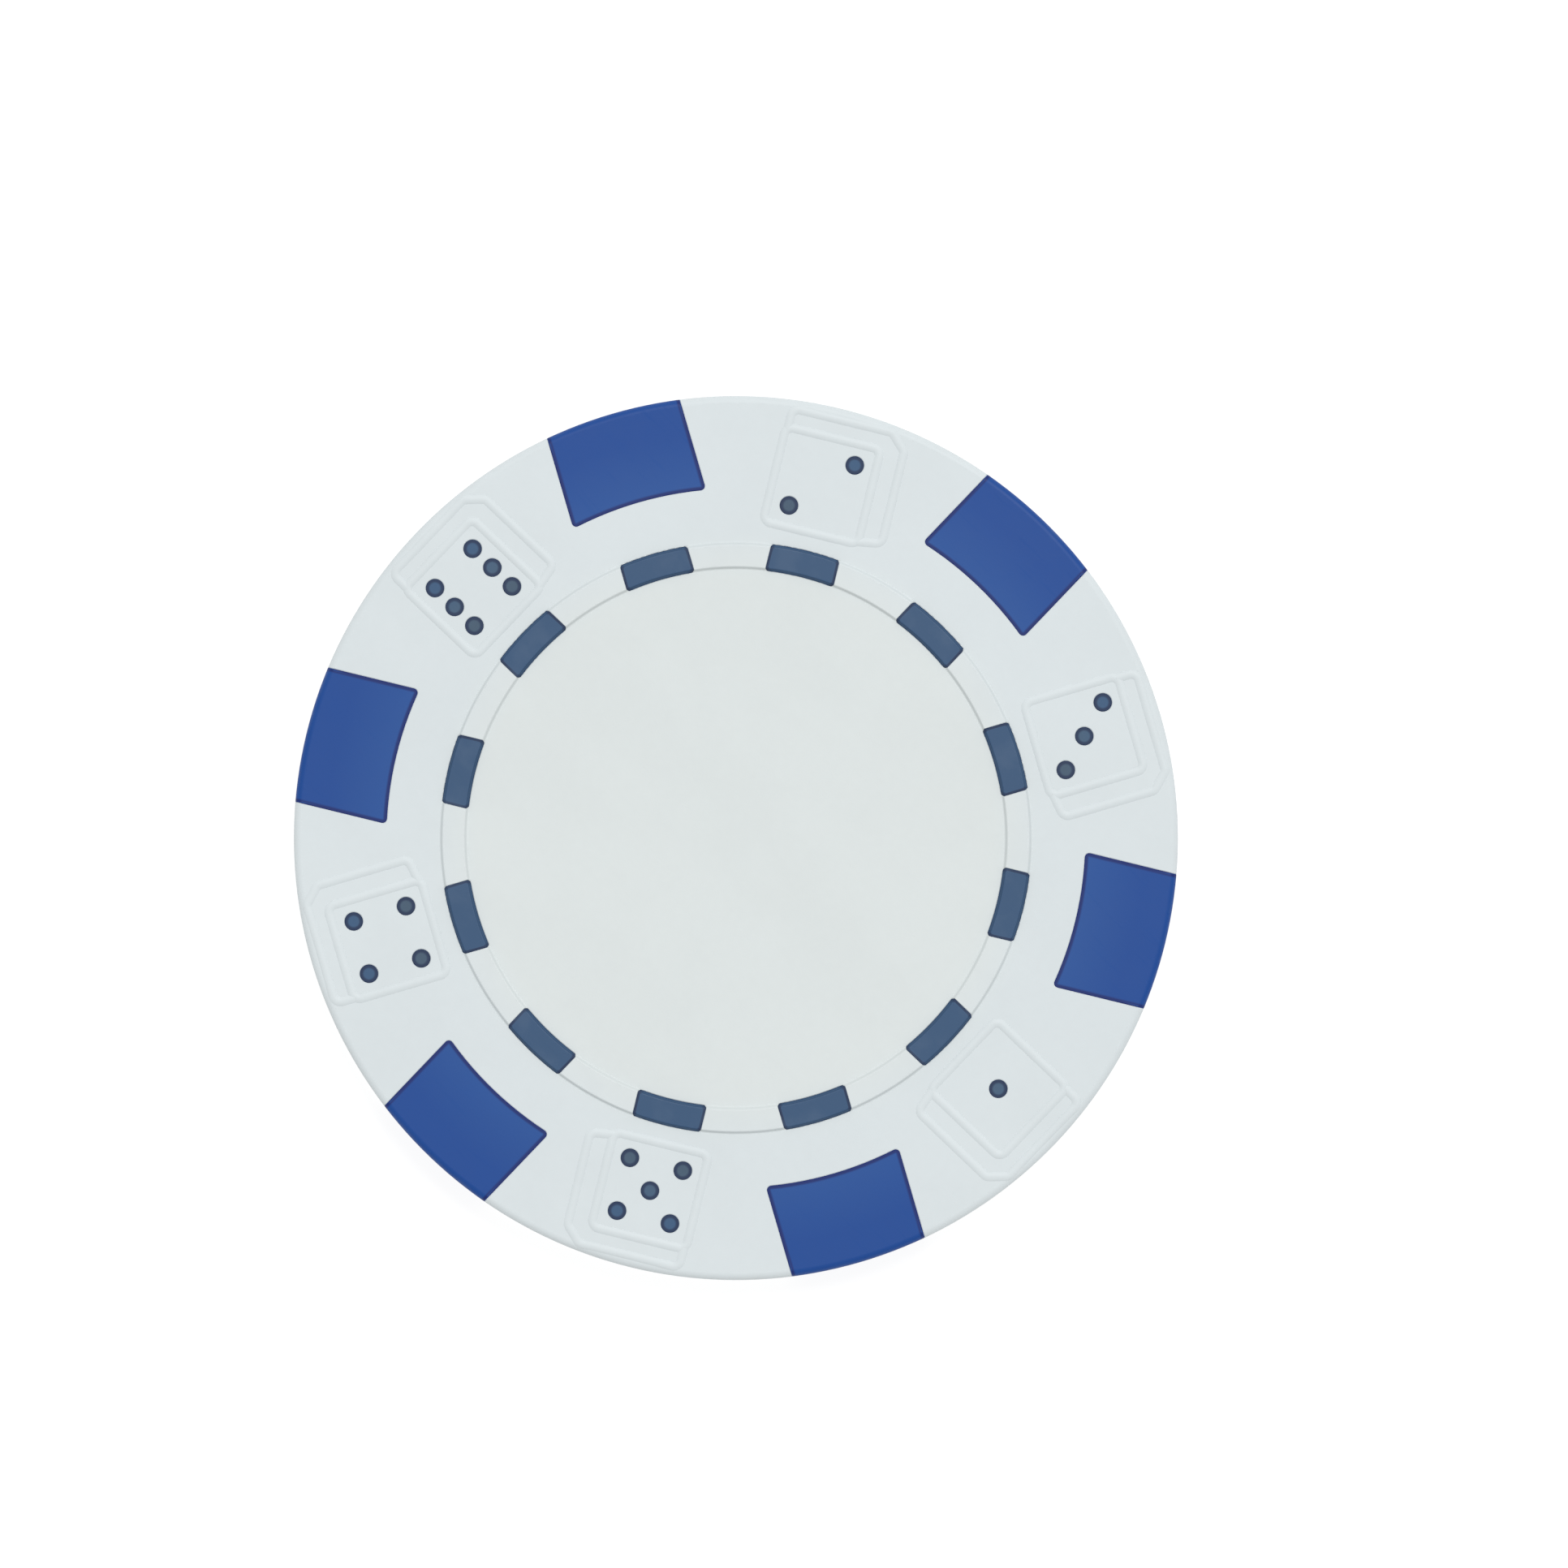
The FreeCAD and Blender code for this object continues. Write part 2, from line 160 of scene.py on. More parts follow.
class Finish:
    """One material, with its shader and the object coordinates that its patterns are drawn in."""

    def __init__(self, name):
        self.material = bpy.data.materials.new(name)
        self.material.use_nodes = True
        self.tree = self.material.node_tree
        self.shader = self.tree.nodes["Principled BSDF"]
        self.place = self.node("ShaderNodeTexCoord", output="Object")

    def node(self, kind, settings=None, inputs=None, output=0):
        """Add a node: its type, then its settings, then its sockets' values or links."""
        made = self.tree.nodes.new(kind)
        for name, value in (settings or {}).items():
            if name == "stops":
                ramp = made.color_ramp
                for element, (position, colour) in zip(ramp.elements, (value[0], value[-1])):
                    element.position, element.color = position, colour
                for position, colour in value[1:-1]:
                    ramp.elements.new(position).color = colour
            else:
                setattr(made, name, value)
        for key, value in (inputs or {}).items():
            if isinstance(value, Wire):
                self.tree.links.new(value.socket, made.inputs[key])
            else:
                made.inputs[key].default_value = value
        return Wire(self, made.outputs[output])

    def feed(self, socket, value):
        """Give one of the shader's own sockets a value or a link."""
        if isinstance(value, Wire):
            self.tree.links.new(value.socket, self.shader.inputs[socket])
        else:
            self.shader.inputs[socket].default_value = value

    def noise(self, per_metre, detail, stretch=(1, 1, 1), turn=0.0):
        """Noise from 0 to 1, with so many blobs to the metre, drawn out along a turned axis."""
        mapped = self.node("ShaderNodeMapping", None, {
            "Vector": self.place, "Rotation": (0, 0, turn), "Scale": stretch})
        return self.node("ShaderNodeTexNoise", None, {
            "Vector": mapped, "Scale": per_metre, "Detail": detail})

    def steps(self, value, low, high):
        """Smooth step from 0, where a value is low, to 1, where it is high."""
        return self.node("ShaderNodeMapRange", {"interpolation_type": "SMOOTHSTEP"}, {
            "Value": value, "From Min": low, "From Max": high})

    def blend(self, factor, first, second):
        """Mix two colours."""
        return self.node("ShaderNodeMix", {"data_type": "RGBA"}, {
            0: factor, 6: (*first, 1) if isinstance(first, tuple) else first,
            7: (*second, 1) if isinstance(second, tuple) else second}, output=2)

    def bump(self, height, distance, strength, under=None):
        """Relief of so many metres at full strength, laid over another relief where one is given."""
        inputs = {"Height": height, "Distance": distance, "Strength": strength}
        if under:
            inputs["Normal"] = under
        return self.node("ShaderNodeBump", None, inputs)


floor_side, floor_gap = 3.0, 2e-5
floor_mesh = bpy.data.meshes.new("floor")
floor_form = bmesh.new()
bmesh.ops.create_grid(floor_form, x_segments=8, y_segments=8, size=floor_side / 2)
bmesh.ops.translate(floor_form, vec=(0, 0, cad_low.z - floor_gap), verts=floor_form.verts)
floor_form.to_mesh(floor_mesh)
floor_form.free()
floor = bpy.data.objects.new("floor", floor_mesh)
bpy.context.scene.collection.objects.link(floor)
table_top = Finish("table_top")
table_top.feed("Base Color", (0.2, 0.2, 0.2, 1))
table_top.feed("Roughness", 0.9)
table_top.feed("Specular IOR Level", 0.0)
table_top.feed("Emission Color", (1, 1, 1, 1))
table_top.feed("Emission Strength", 0.88)
floor_mesh.materials.append(table_top.material)

# ---------------------------------------------------------------------------------------------
# The chip's face, drawn once in plan and cut into its shots of plastic. Every piece below takes
# its own part of it, so that neighbours meet along one shared line, in a fine parting groove.
# The chip's back is its front turned over about the X axis. All sizes are in millimetres.
# ---------------------------------------------------------------------------------------------
MM = 0.001
chip_radius = (cad_high.x - cad_low.x) / 2 / MM
half_thickness = (cad_high.z - cad_low.z) / 2 / MM
middle_height = (cad_high.z + cad_low.z) / 2
core_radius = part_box("inner_core")[1].x / MM
core_top = 1.175

rim_round = 0.3
ring_height = 0.15
ring_inner, ring_outer = 11.85, 13.05
ring_wall = 0.14
field_height = half_thickness - ring_height

spot_count, spot_half_width, spot_inner, spot_corner = 6, 3.05, 15.4, 0.2
first_spot_degrees, past_rim = 30, 0.5
dash_count, dash_half_width, dash_corner = 12, 1.55, 0.12
pip_radius, pip_pitch, die_centre = 0.41, 1.2, 16.0
die_numbers = (1, 3, 2, 6, 4, 5)
pip_places = {
    1: [(0, 0)],
    2: [(1, -1), (-1, 1)],
    3: [(1, 1), (0, 0), (-1, -1)],
    4: [(1, 1), (1, -1), (-1, 1), (-1, -1)],
    5: [(1, 1), (1, -1), (0, 0), (-1, 1), (-1, -1)],
    6: [(1, 1), (0, 1), (-1, 1), (1, -1), (0, -1), (-1, -1)],
}
groove_half_width, groove_depth = 0.035, 0.025
dark_width, dark_fade = 0.11, 0.09
guard = 0.03
circle_steps, wall_steps, pip_steps, side_steps, corner_steps = 240, 7, 36, 12, 6


def arc(x, y, radius, first, last, steps):
    """Points along an arc, from one angle to another in radians."""
    turns = [first + (last - first) * i / steps for i in range(steps + 1)]
    return [(x + radius * math.cos(a), y + radius * math.sin(a)) for a in turns]


def inlay_outline(inner, outer, half_width, corner, angle):
    """Parallel-sided block between two circles round the chip's centre, with rounded corners."""
    reach = half_width - corner
    near = math.sqrt((inner + corner) ** 2 - reach ** 2)
    far = math.sqrt((outer - corner) ** 2 - reach ** 2)
    near_turn, far_turn = math.atan2(reach, near), math.atan2(reach, far)
    points = arc(0, 0, outer, -far_turn, far_turn, side_steps)
    points += arc(far, reach, corner, far_turn, math.pi / 2, corner_steps)[1:]
    points += arc(near, reach, corner, math.pi / 2, math.pi + near_turn, corner_steps)
    points += arc(0, 0, inner, near_turn, -near_turn, side_steps)[1:]
    points += arc(near, -reach, corner, math.pi - near_turn, 1.5 * math.pi, corner_steps)[1:]
    points += arc(far, -reach, corner, 1.5 * math.pi, 2 * math.pi - far_turn, corner_steps)[:-1]
    return turned(points, angle)


def turned(points, angle):
    """The same points, turned round the chip's centre."""
    c, s = math.cos(angle), math.sin(angle)
    return [(x * c - y * s, x * s + y * c) for x, y in points]


def profile(radius):
    """Height above the chip's middle plane and the surface's outward slope, at a radius."""
    if radius > chip_radius - rim_round:
        across = min((radius - chip_radius + rim_round) / rim_round, 1)
        up = math.sqrt(1 - across ** 2)
        return field_height - rim_round * (1 - up), across, up
    share = min((radius - ring_inner) / ring_wall, (ring_outer - radius) / ring_wall)
    share = max(0, min(1, share))
    rise = 6 * share * (1 - share) * ring_height / ring_wall
    if radius < (ring_inner + ring_outer) / 2:
        rise = -rise
    steep = math.hypot(1, rise)
    height = field_height + ring_height * share * share * (3 - 2 * share)
    return height, rise / steep, 1 / steep


# the inlays, each with the name of its piece and a function that draws its outline grown by g
inlays = []
spot_headings = [
    math.radians(first_spot_degrees + 360 / spot_count * i) for i in range(spot_count)]
for i, heading in enumerate(spot_headings):
    inlays.append((f"spot_{i + 1}", lambda g, a=heading: inlay_outline(
        spot_inner - g, chip_radius + past_rim, spot_half_width + g, spot_corner + g, a)))
for i in range(dash_count):
    heading = 2 * math.pi / dash_count * i
    inlays.append(("mark", lambda g, a=heading: inlay_outline(
        ring_inner - g, ring_outer + g, dash_half_width + g, dash_corner + g, a)))
for i, number in enumerate(die_numbers):
    heading = math.radians(360 / len(die_numbers) * i)
    for out, along in pip_places[number]:
        inlays.append(("mark", lambda g, a=heading, x=die_centre + pip_pitch * out, y=pip_pitch * along:
                       turned(arc(x, y, pip_radius + g, 0, 2 * math.pi, pip_steps)[:-1], a)))

plan_points, plan_edges, plan_faces = [], [], []
outline_edges, dark_edges = set(), set()


def draw_loop(points):
    """Add a closed line to the plan."""
    start = len(plan_points)
    plan_points.extend(Vector(p) for p in points)
    count = len(points)
    plan_edges.extend((start + i, start + (i + 1) % count) for i in range(count))
    return list(range(start, start + count))


# what is drawn: circles where the height changes, with a guard circle beside each bend so that
# the flats stay flat, and each inlay's outline with lines for its groove and its darker edge,
# the band where painted shade and dirt lie along the parting groove
rim_circles = [chip_radius - rim_round * (1 - math.sin(math.radians(a))) for a in range(0, 91, 15)]
rim_circles.append(chip_radius - rim_round - guard)
into_wall = [-guard, *(ring_wall * i / wall_steps for i in range(wall_steps + 1)), ring_wall + guard]
ring_circles = [ring_inner + w for w in into_wall] + [ring_outer - w for w in into_wall]
for radius in [*ring_circles, core_radius, *sorted(rim_circles)]:
    loop = draw_loop(arc(0, 0, radius, 0, 2 * math.pi, circle_steps)[:-1])
plan_faces.append(loop)
for name, outline in inlays:
    draw_loop(outline(groove_half_width))
    draw_loop(outline(-dark_width - dark_fade))
    dark_start = len(plan_edges)
    draw_loop(outline(-dark_width))
    draw_loop(outline(-groove_half_width))
    outline_start = len(plan_edges)
    plan_faces.append(draw_loop(outline(0)))
    outline_edges.update(range(outline_start, len(plan_edges)))
    dark_edges.update(range(dark_start, len(plan_edges)))

same_point = 1e-6
plan = delaunay_2d_cdt(plan_points, plan_edges, plan_faces, 0, same_point)
face_points, cut_edges, face_triangles, _, edge_sources, face_sources = plan


def points_on(lines):
    """The plan points that lie on some of the drawn lines."""
    return {v for edge, sources in zip(cut_edges, edge_sources)
            if lines.intersection(sources) for v in edge}


in_groove, in_dark_edge = points_on(outline_edges), points_on(dark_edges)


def on_face(index):
    """A plan point lifted onto the face, pressed in where it lies in a parting groove."""
    x, y = face_points[index]
    radius = math.hypot(x, y)
    height, out, up = profile(radius)
    if index in in_groove:
        height -= groove_depth * up
        shrink = 1 - groove_depth * out / radius
        x, y = x * shrink, y * shrink
    return Vector((x, y, height))


def face_region(wanted):
    """The triangles of the face that belong to the body, the marks or one of the spots.

    The chip's own outline is the first face of the plan, and the inlays follow it.
    """
    triangles = []
    for triangle, sources in zip(face_triangles, face_sources):
        owners = [inlays[s - 1][0] for s in sources if s > 0]
        if 0 in sources and (owners[0] if owners else "body") == wanted:
            triangles.append(triangle)
    return triangles


def moulded_piece(name, wanted, inner_plane=None, turn_heading=0.0):
    """Closed solid under one region of the face and under its turned copy on the back.

    Where inner_plane is given, the piece ends at that height inside the core's radius. Elsewhere
    it runs through from the front to the back. The copy is turned over about a line through the
    chip's centre at turn_heading. The "parting" attribute is 1 along the edge of each inlay.
    """
    inside_by, at_radius, merge_within = 1e-4, 2e-3, 2e-7
    form = bmesh.new()
    parting = form.verts.layers.float.new("parting")
    levels = {}

    def vertex(index, level):
        """The corner over or under a plan point, made when it is first asked for."""
        if (index, level) not in levels:
            place = on_face(index)
            if level != "face":
                place.z = inner_plane if level == "inner" else 0
            made = form.verts.new(place * MM)
            # the parting band is where the inlay's material lays painted shade and dirt along the
            # groove
            made[parting] = float(index in in_dark_edge)
            levels[index, level] = made
        return levels[index, level]

    def radius(*indices):
        return sum(math.hypot(*face_points[i]) for i in indices) / len(indices)

    def is_backed(*indices):
        return inner_plane is not None and radius(*indices) < core_radius - inside_by

    def on_core_edge(index):
        return inner_plane is not None and abs(radius(index) - core_radius) < at_radius

    owner = {}
    triangles = face_region(wanted)
    for triangle in triangles:
        for k in range(3):
            owner[triangle[k], triangle[k - 2]] = triangle
    for triangle in triangles:
        form.faces.new([vertex(i, "face") for i in triangle])
        if is_backed(*triangle):
            form.faces.new([vertex(i, "inner") for i in reversed(triangle)])
    for (a, b), triangle in owner.items():
        other = owner.get((b, a))
        if other is None and is_backed(*triangle):
            form.faces.new([vertex(b, "face"), vertex(a, "face"),
                            vertex(a, "inner"), vertex(b, "inner")])
        elif other is None:
            ring = [vertex(b, "face"), vertex(a, "face")]
            ring += [vertex(a, "inner")] if on_core_edge(a) else []
            ring += [vertex(a, "middle"), vertex(b, "middle")]
            ring += [vertex(b, "inner")] if on_core_edge(b) else []
            form.faces.new(ring)
        elif is_backed(*triangle) and not is_backed(*other):
            form.faces.new([vertex(b, "inner"), vertex(a, "inner"),
                            vertex(a, "middle"), vertex(b, "middle")])
    back = bmesh.ops.duplicate(form, geom=[*form.verts, *form.edges, *form.faces])["geom"]
    back = [item for item in back if isinstance(item, bmesh.types.BMVert)]
    turn_line = Vector((math.cos(turn_heading), math.sin(turn_heading), 0))
    bmesh.ops.rotate(form, verts=back, matrix=Matrix.Rotation(math.pi, 3, turn_line))
    bmesh.ops.remove_doubles(form, verts=form.verts, dist=merge_within)
    bmesh.ops.recalc_face_normals(form, faces=form.faces)
    bmesh.ops.translate(form, vec=(0, 0, middle_height), verts=form.verts)
    return finished_object(name, form)


def finished_object(name, form):
    """Turn a bmesh into an object whose shallow edges are shaded smooth."""
    smooth_below = math.radians(30)
    for face in form.faces:
        face.smooth = True
    for edge in form.edges:
        if len(edge.link_faces) == 2:
            edge.smooth = edge.calc_face_angle(0) < smooth_below
    mesh = bpy.data.meshes.new(name)
    form.to_mesh(mesh)
    form.free()
    piece = bpy.data.objects.new(name, mesh)
    bpy.context.scene.collection.objects.link(piece)
    return piece


# ---------------------------------------------------------------------------------------------
# White body: the last shot, satin moulded plastic that wraps the core and holds the spots. It
# has a fine spark-eroded mould texture, faint flow marks, and handling wear on the high edges.
# ---------------------------------------------------------------------------------------------
def moulded_plastic(name, tints, wear_colour, groove_shade_and_dirt_colour=None):
    """Satin moulded plastic: flow marks, mould grain, fine scuffs and rubbed high edges.

    tints are colours by distance from the chip's centre, in mm. An edge colour is for inlays:
    it is painted shade and dirt in the parting groove, darker where they meet the white.
    """
    darkest_shade, least_rough, groove_shade_and_dirt_cover = 0.965, 0.46, 0.9
    rim_wear, ring_wear, worn_height = 0.4, 0.3, 0.6
    grain_depth, flow_depth, scratch_depth = 2.2e-6, 3.0e-5, 6e-7
    plastic = Finish(name)
    flow = plastic.noise(per_metre=90, detail=3.0, stretch=(1, 2.5, 1), turn=0.4)
    cloud = plastic.noise(per_metre=420, detail=4.0)
    fine = plastic.noise(per_metre=2600, detail=3.0)
    in_plan = plastic.node("ShaderNodeVectorMath", {"operation": "MULTIPLY"}, {
        0: plastic.place, 1: (1, 1, 0)})
    radius = plastic.node("ShaderNodeVectorMath", {"operation": "LENGTH"}, {0: in_plan}, output=1)
    height = plastic.node("ShaderNodeSeparateXYZ", None, {0: plastic.place}, output=2)
    stops = [(distance / chip_radius, (*colour, 1)) for distance, colour in tints]
    tint = plastic.node("ShaderNodeValToRGB", {"stops": stops}, {
        0: radius * (1 / (chip_radius * MM))})
    shade = darkest_shade + plastic.steps(flow * 0.6 + cloud * 0.4, 0.38, 0.62) * 0.02 + fine * 0.03
    base = plastic.node("ShaderNodeVectorMath", {"operation": "SCALE"}, {0: tint, "Scale": shade})
    # painted shade and dirt: the inlay's colour is darkened along its parting groove
    if groove_shade_and_dirt_colour:
        parting = plastic.node("ShaderNodeAttribute", {"attribute_name": "parting"}, output=2)
        base = plastic.blend(parting * groove_shade_and_dirt_cover, base, groove_shade_and_dirt_colour)
    rim = plastic.steps(radius, (chip_radius - rim_round) * MM, chip_radius * MM)
    top = plastic.steps(abs(height - middle_height),
                        (field_height + worn_height * ring_height) * MM, half_thickness * MM)
    patches = plastic.steps(plastic.noise(per_metre=700, detail=5.0), 0.45, 0.7)
    wear = (rim * rim_wear + top * ring_wear) * patches
    plastic.feed("Base Color", plastic.blend(wear, base, wear_colour))
    one_way = plastic.noise(per_metre=300, detail=2.0, stretch=(1, 16, 1), turn=0.7)
    other_way = plastic.noise(per_metre=260, detail=2.0, stretch=(1, 18, 1), turn=-1.1)
    scratches = plastic.steps(one_way, 0.62, 0.72) + plastic.steps(other_way, 0.64, 0.74)
    plastic.feed("Roughness",
                 least_rough + cloud * 0.08 + fine * 0.05 - wear * 0.1 + scratches * 0.04)
    grain = plastic.noise(per_metre=11000, detail=3.0)
    surface = plastic.bump(grain, grain_depth, strength=0.8)
    surface = plastic.bump(flow, flow_depth, strength=0.25, under=surface)
    surface = plastic.bump(scratches, scratch_depth, strength=0.5, under=surface)
    plastic.feed("Normal", surface)
    plastic.feed("IOR", 1.5)
    plastic.feed("Specular IOR Level", 0.35)
    return plastic.material


white_plastic = moulded_plastic(
    "white_plastic",
    tints=[(ring_inner - 0.5, (0.668, 0.712, 0.708)), (ring_outer + 0.5, (0.652, 0.705, 0.722))],
    wear_colour=(0.63, 0.675, 0.685),
)
white_body = moulded_piece("white_body", "body", inner_plane=core_top)
white_body.data.materials.append(white_plastic)
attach(white_body, "root")
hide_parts("outer_body")

# ---------------------------------------------------------------------------------------------
# Dice outlines: a low rounded bead of the same white plastic along the edges of each cube's
# front, outer and clockwise faces, cut into the mould and so standing proud of the field.
# ---------------------------------------------------------------------------------------------
die_half_side, die_bend = 2.15, 0.35
die_outer_depth, die_outer_shift = 0.85, 0.1
die_side_depth, die_side_shift, die_bevel = 1.02, 0.28, 0.7
bead_width, bead_height, bead_sunk = 0.47, 0.05, 0.02
bend_steps, section_points = 8, 13

# the side lines start and end under the middle of the front face's rounded corners
corner_cut = die_bend * (1 - math.sqrt(0.5))
die_near, die_far = die_centre - die_half_side, die_centre + die_half_side
die_back, die_side = die_far + die_outer_depth, -(die_half_side + die_side_depth)
front_route = [(die_near, -die_half_side), (die_far, -die_half_side),
               (die_far, die_half_side), (die_near, die_half_side)]
back_route = [
    (die_far - corner_cut, die_half_side - corner_cut),
    (die_back, die_half_side - die_outer_shift),
    (die_back, die_side + die_bevel),
    (die_back - die_bevel, die_side),
    (die_near + die_side_shift, die_side),
    (die_near + corner_cut, corner_cut - die_half_side),
]
wires = bpy.data.meshes.new("die_wires")
route_points = [Vector((x, y, field_height - bead_sunk)) * MM for x, y in front_route + back_route]
corners = len(front_route)
route_edges = [(i, (i + 1) % corners) for i in range(corners)]
route_edges += [(i, i + 1) for i in range(corners, len(route_points) - 1)]
wires.from_pydata(route_points, route_edges, [])
die_wires = bpy.data.objects.new("die_wires", wires)
bpy.context.scene.collection.objects.link(die_wires)


class Recipe:
    """A Geometry Nodes tree under construction, with named inputs."""

    def __init__(self, name, **sizes):
        self.tree = bpy.data.node_groups.new(name, "GeometryNodeTree")
        add = self.tree.interface.new_socket
        add("Geometry", in_out="INPUT", socket_type="NodeSocketGeometry")
        self.ids = {}
        for size, value in sizes.items():
            kind = "NodeSocketInt" if isinstance(value, int) else "NodeSocketFloat"
            self.ids[size] = add(size, in_out="INPUT", socket_type=kind).identifier
        add("Geometry", in_out="OUTPUT", socket_type="NodeSocketGeometry")
        self.source = self.tree.nodes.new("NodeGroupInput")
        self.sizes = sizes

    def size(self, name):
        """The socket of one of the recipe's named inputs."""
        return self.source.outputs[name]

    def node(self, kind, settings=None, inputs=None, output=0):
        """Add a node: its type, then its settings, then its sockets' values or links."""
        made = self.tree.nodes.new(kind)
        for name, value in (settings or {}).items():
            setattr(made, name, value)
        for key, value in (inputs or {}).items():
            links = value if isinstance(value, list) else [value]
            for link in links:
                if isinstance(link, bpy.types.NodeSocket):
                    self.tree.links.new(link, made.inputs[key])
                else:
                    made.inputs[key].default_value = link
        return made.outputs[output]

    def make(self, obj, name, result):
        """Finish the tree, run it on obj and return the result as a plain object."""
        merge_within = 1e-8
        sink = self.tree.nodes.new("NodeGroupOutput")
        self.tree.links.new(result, sink.inputs[0])
        modifier = obj.modifiers.new("recipe", "NODES")
        modifier.node_group = self.tree
        for size, value in self.sizes.items():
            modifier[self.ids[size]] = value
        evaluated = obj.evaluated_get(bpy.context.evaluated_depsgraph_get())
        mesh = bpy.data.meshes.new_from_object(evaluated)
        bpy.data.objects.remove(obj)
        form = bmesh.new()
        form.from_mesh(mesh)
        bmesh.ops.remove_doubles(form, verts=form.verts, dist=merge_within)
        bmesh.ops.recalc_face_normals(form, faces=form.faces)
        piece = finished_object(name, form)
        for material in mesh.materials:
            piece.data.materials.append(material)
        return piece


beads = Recipe("dice_beads", Bend=die_bend * MM, Width=bead_width * MM, Height=bead_height * MM,
               Sunk=bead_sunk * MM, Middle=middle_height, Dice=len(die_numbers))
route = beads.node("GeometryNodeMeshToCurve", None, {"Mesh": beads.source.outputs[0]})
route = beads.node("GeometryNodeFilletCurve", {"mode": "POLY"}, {
    "Curve": route, "Radius": beads.size("Bend"), "Count": bend_steps, "Limit Radius": True})
route = beads.node("GeometryNodeSetCurveNormal", {"mode": "Z_UP"}, {"Curve": route})
half_bead = beads.node("ShaderNodeMath", {"operation": "MULTIPLY"}, {0: beads.size("Width"), 1: 0.5})
other_half = beads.node("ShaderNodeMath", {"operation": "MULTIPLY"}, {0: beads.size("Width"), 1: -0.5})
crown = beads.node("ShaderNodeMath", {"operation": "ADD"}, {
    0: beads.size("Height"), 1: beads.size("Sunk")})
crown_below = beads.node("ShaderNodeMath", {"operation": "MULTIPLY"}, {0: crown, 1: -1})
section = beads.node("GeometryNodeCurveArc", {"mode": "POINTS"}, {
    "Resolution": section_points,
    "Start": beads.node("ShaderNodeCombineXYZ", None, {0: half_bead}),
    "Middle": beads.node("ShaderNodeCombineXYZ", None, {1: crown_below}),
    "End": beads.node("ShaderNodeCombineXYZ", None, {0: other_half})})
section = beads.node("GeometryNodeSetSplineCyclic", None, {"Geometry": section, "Cyclic": True})
bead = beads.node("GeometryNodeCurveToMesh", None, {
    "Curve": route, "Profile Curve": section, "Fill Caps": True})
seats = beads.node("GeometryNodePoints", None, {"Count": beads.size("Dice")})
share = beads.node("ShaderNodeMath", {"operation": "DIVIDE"}, {0: 2 * math.pi, 1: beads.size("Dice")})
heading = beads.node("ShaderNodeMath", {"operation": "MULTIPLY"}, {
    0: beads.node("GeometryNodeInputIndex"), 1: share})
front = beads.node("GeometryNodeInstanceOnPoints", None, {
    "Points": seats, "Instance": bead,
    "Rotation": beads.node("ShaderNodeCombineXYZ", None, {2: heading})})
back = beads.node("GeometryNodeTransform", None, {"Geometry": front, "Rotation": (math.pi, 0, 0)})
both = beads.node("GeometryNodeJoinGeometry", None, {0: [front, back]})
lifted = beads.node("GeometryNodeTransform", None, {
    "Geometry": both,
    "Translation": beads.node("ShaderNodeCombineXYZ", None, {2: beads.size("Middle")})})
solid = beads.node("GeometryNodeRealizeInstances", None, {0: lifted})
solid = beads.node("GeometryNodeSetMaterial", None, {"Geometry": solid, "Material": white_plastic})
dice_outlines = beads.make(die_wires, "dice_outlines", solid)

# where a bead reaches the rounded rim, it follows the rim down
for vertex in dice_outlines.data.vertices:
    vertex_radius = math.hypot(vertex.co.x, vertex.co.y) / MM
    if vertex_radius > chip_radius - rim_round:
        drop = (field_height - profile(vertex_radius)[0]) * MM
        vertex.co.z += math.copysign(drop, middle_height - vertex.co.z)
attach(dice_outlines, "root")

# ---------------------------------------------------------------------------------------------
# Edge spots: six blocks of royal blue plastic, one shot, that run through from face to face and
# out to the rim. Each is held by a dovetail tongue of the core inside it.
# ---------------------------------------------------------------------------------------------
royal_blue = moulded_plastic(
    "royal_blue_plastic",
    tints=[(spot_inner, (0.011, 0.074, 0.29)), (chip_radius - 1.5, (0.002, 0.056, 0.27))],
    wear_colour=(0.03, 0.085, 0.27),
    # painted shade and dirt along the parting groove
    groove_shade_and_dirt_colour=(0.001, 0.01, 0.12),
)
for number, heading in enumerate(spot_headings, start=1):
    spot = moulded_piece(f"spot_block_{number}", f"spot_{number}", turn_heading=heading)
    spot.data.materials.append(royal_blue)
    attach(spot, "root")
    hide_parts(f"edge_spot_{number}")

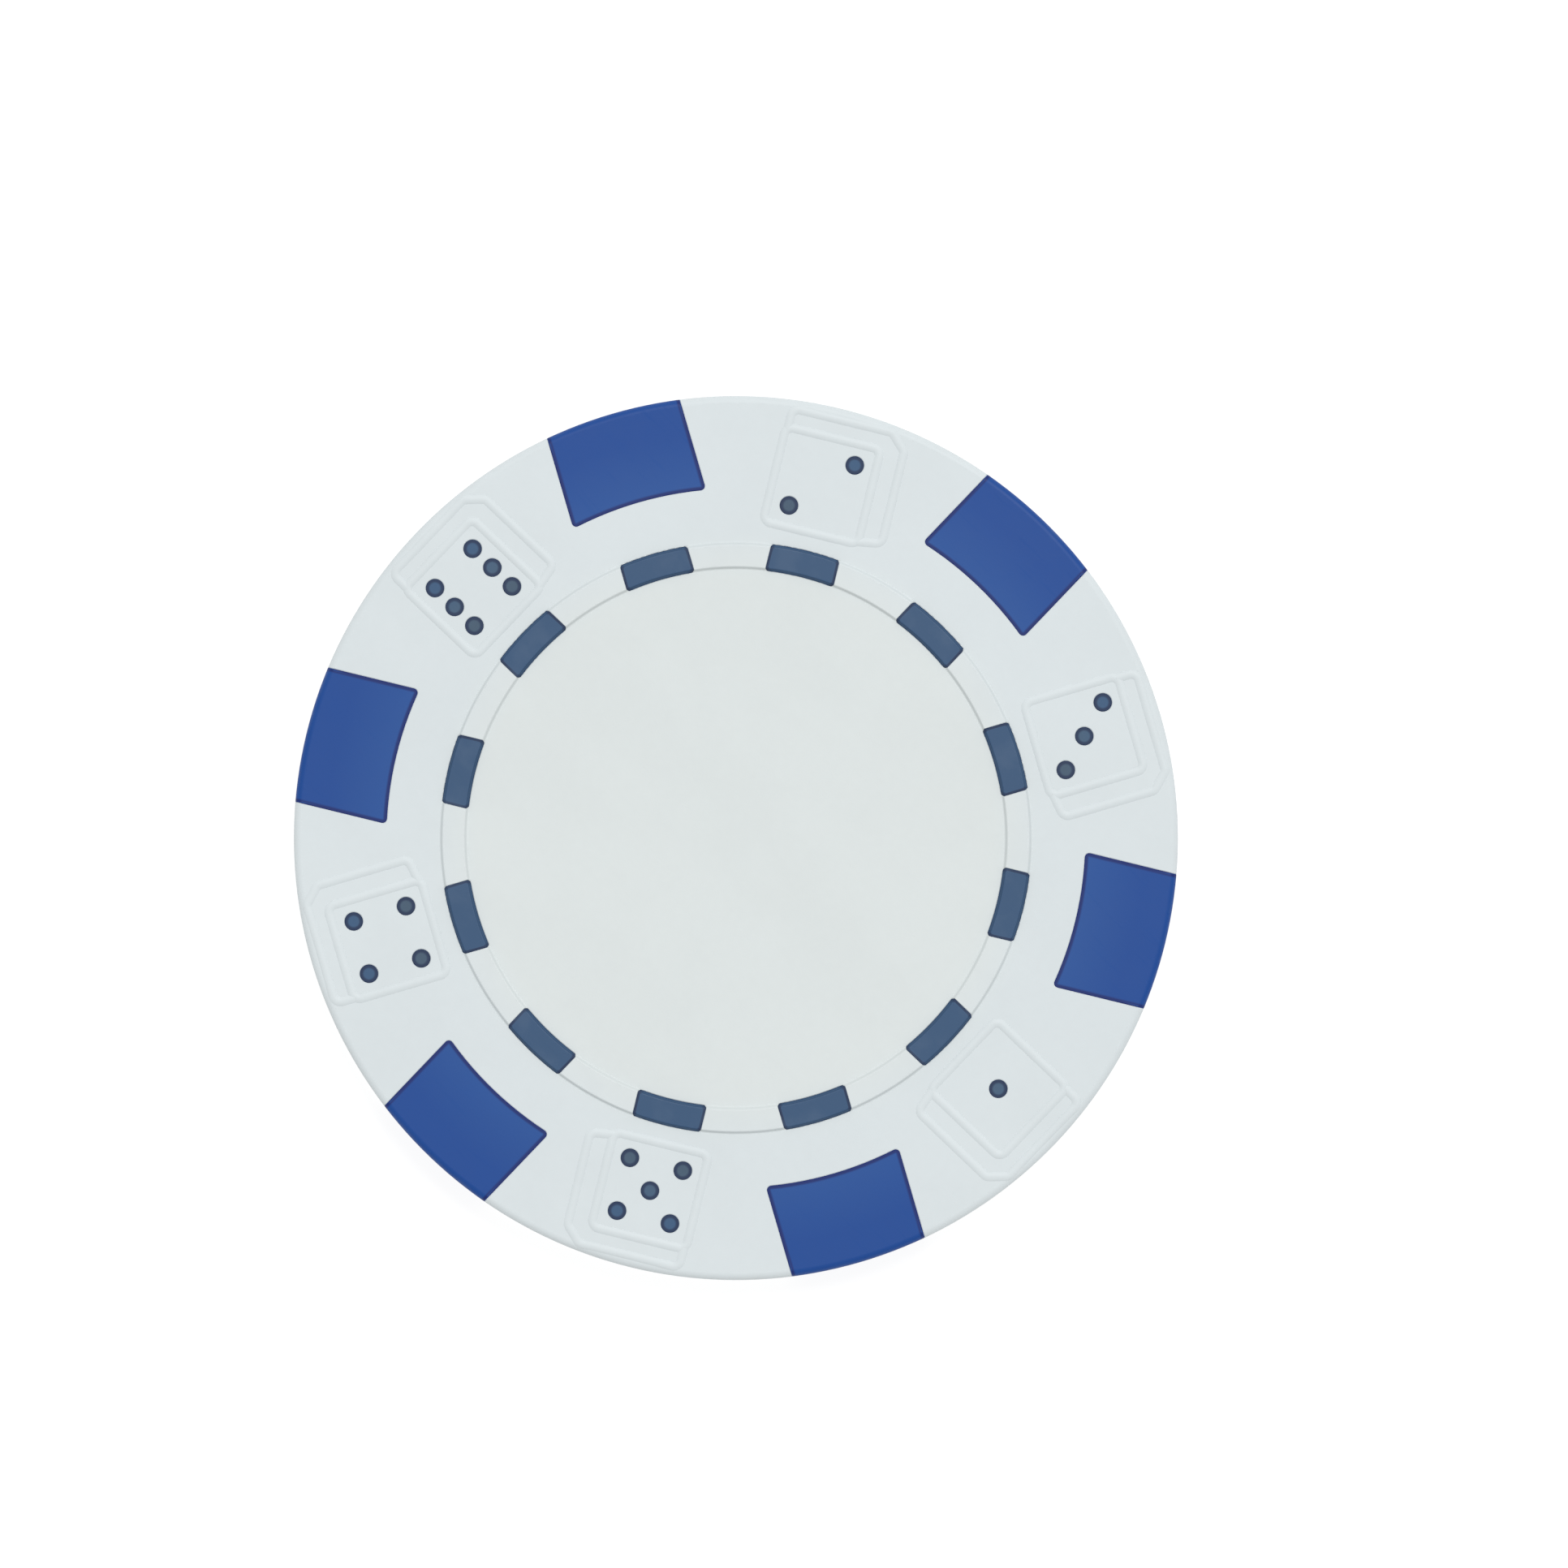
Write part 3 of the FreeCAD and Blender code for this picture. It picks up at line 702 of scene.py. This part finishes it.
# ---------------------------------------------------------------------------------------------
# Core and marks: the first shot, slate blue plastic round the slug. Its posts come through the
# white and end flush with it, as the pips of the dice and the dashes of the raised ring.
# ---------------------------------------------------------------------------------------------
slate_blue = moulded_plastic(
    "slate_blue_plastic",
    tints=[(ring_outer, (0.031, 0.08, 0.168)), (die_centre - pip_pitch, (0.05, 0.09, 0.14)),
           (die_centre, (0.048, 0.099, 0.172)), (die_centre + pip_pitch, (0.036, 0.091, 0.185))],
    wear_colour=(0.065, 0.115, 0.2),
    # painted shade and dirt along the parting groove
    groove_shade_and_dirt_colour=(0.008, 0.022, 0.07),
)
above_core, merge_within = 0.01, 1e-7
core_form = bmesh.new()
core_form.from_mesh(frame["nodes"]["inner_core"].data)
bmesh.ops.remove_doubles(core_form, verts=core_form.verts, dist=merge_within)
post_height = (core_top + above_core) * MM
posts = [v for v in core_form.verts if abs(v.co.z - middle_height) > post_height]
bmesh.ops.delete(core_form, geom=posts, context="VERTS")
open_edges = [e for e in core_form.edges if len(e.link_faces) == 1]
bmesh.ops.holes_fill(core_form, edges=open_edges, sides=0)
core = finished_object("core", core_form)
core.data.materials.append(slate_blue)
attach(core, "root")
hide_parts("inner_core")

marks = moulded_piece("pips_and_dashes", "mark", inner_plane=core_top)
marks.data.materials.append(slate_blue)
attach(marks, "root")

# ---------------------------------------------------------------------------------------------
# Slug: a disc of mild steel punched from strip, left as rolled and sealed inside the core. Its
# grain runs along the strip, with spots of surface rust.
# ---------------------------------------------------------------------------------------------
strip_steel = Finish("strip_steel")
rolled = strip_steel.noise(per_metre=500, detail=4.0, stretch=(1, 30, 1))
stain = strip_steel.steps(strip_steel.noise(per_metre=260, detail=5.0), 0.58, 0.72)
bright = strip_steel.blend(rolled, (0.40, 0.41, 0.43), (0.56, 0.57, 0.58))
strip_steel.feed("Base Color", strip_steel.blend(stain * 0.7, bright, (0.16, 0.09, 0.05)))
strip_steel.feed("Metallic", 1 - stain * 0.8)
strip_steel.feed("Roughness", 0.3 + rolled * 0.15 + stain * 0.3)
strip_steel.feed("Normal", strip_steel.bump(rolled, 3e-6, strength=0.6))
for slot in frame["nodes"]["steel_slug"].material_slots:
    slot.material = strip_steel.material
